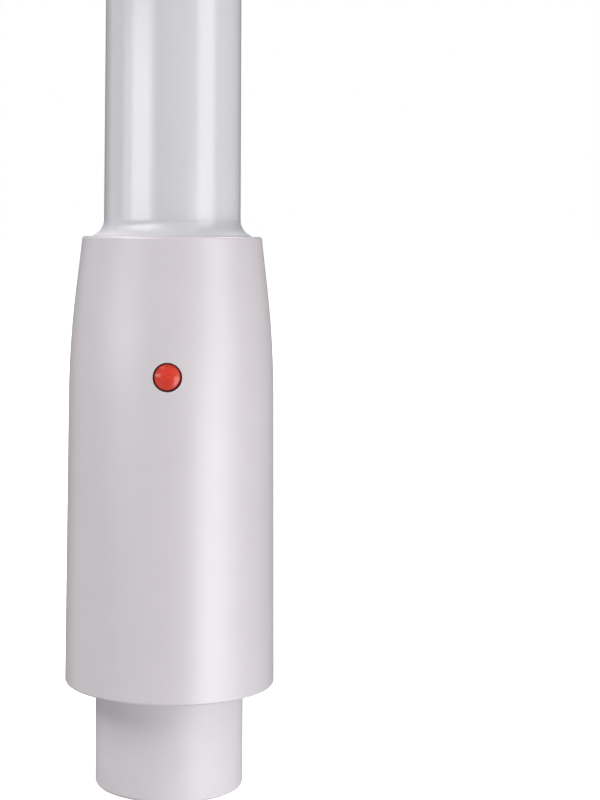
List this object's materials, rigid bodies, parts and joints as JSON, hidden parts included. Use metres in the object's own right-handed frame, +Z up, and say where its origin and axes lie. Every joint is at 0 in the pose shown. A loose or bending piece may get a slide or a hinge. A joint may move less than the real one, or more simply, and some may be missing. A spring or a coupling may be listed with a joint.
{
  "type": "omnidirectional whip antenna",
  "caption": "Tall tapered white whip antenna with a small tip cap, on a short ferrule with a red push-button latch and an open socket that drops onto a deck spigot.",
  "frame": {"origin": "centre of the socket's mouth, in the neck's end face", "axes": "+Z up along the whip, -Y out of the push button, +X to the right as the button is faced"},
  "size_m": [0.03, 0.03, 2.4],
  "materials": {
    "white_gelcoat": "glossy white coat over glass fibre",
    "white_cap": "satin moulded plastic",
    "white_shell": "satin moulded plastic with a fine grain",
    "white_neck": "satin moulded acetal",
    "sealant": "smooth white sealant",
    "red_button": "glossy moulded plastic",
    "black_rubber": "nitrile rubber",
    "nickel_brass": "turned brass, nickel plated",
    "brass": "drawn brass",
    "gold_contact": "gold plated brass",
    "stainless": "blanked stainless steel",
    "spring_steel": "drawn stainless wire",
    "ptfe": "turned PTFE",
    "acetal": "turned acetal",
    "enamelled_copper": "enamelled copper wire",
    "cable_jacket": "extruded jacket",
    "tinned_copper": "tinned copper",
    "grey_foam": "closed-cell foam"
  },
  "bodies": {
    "antenna": {"whip_tube": "white_gelcoat", "tip_cap": "white_cap", "whip_seal": "sealant", "ferrule_shell": "white_shell", "neck_collar": "white_neck", "socket_core": "nickel_brass", "socket_oring": "black_rubber", "ground_ring": "gold_contact", "contact_insulator": "ptfe", "centre_contact": "gold_contact", "insulator_circlip": "spring_steel", "feed_conductor": "tinned_copper", "feed_dielectric": "ptfe", "feed_shield": "tinned_copper", "feed_jacket": "cable_jacket", "shield_disc": "brass", "coil_former": "acetal", "matching_coil": "enamelled_copper", "tap_wire": "tinned_copper", "lower_radiator": "brass", "upper_radiator": "brass", "phasing_former": "acetal", "phasing_coil": "enamelled_copper", "rod_sleeves": "brass", "rod_spacers": "grey_foam", "tip_bead": "grey_foam", "latch_spring": "spring_steel", "spring_cup": "stainless"},
    "button": {"release_button": "red_button", "button_seal": "black_rubber", "latch_plate": "stainless"}
  },
  "joints": [
    {"name": "release_press", "type": "slide", "parent": "antenna", "child": "button", "axis": [0, 1, 0], "range_m": [0, 0.0012], "stiffness_N_per_m": 1200, "springref_m": -0.0024, "deforming": ["latch_spring"]}
  ]
}
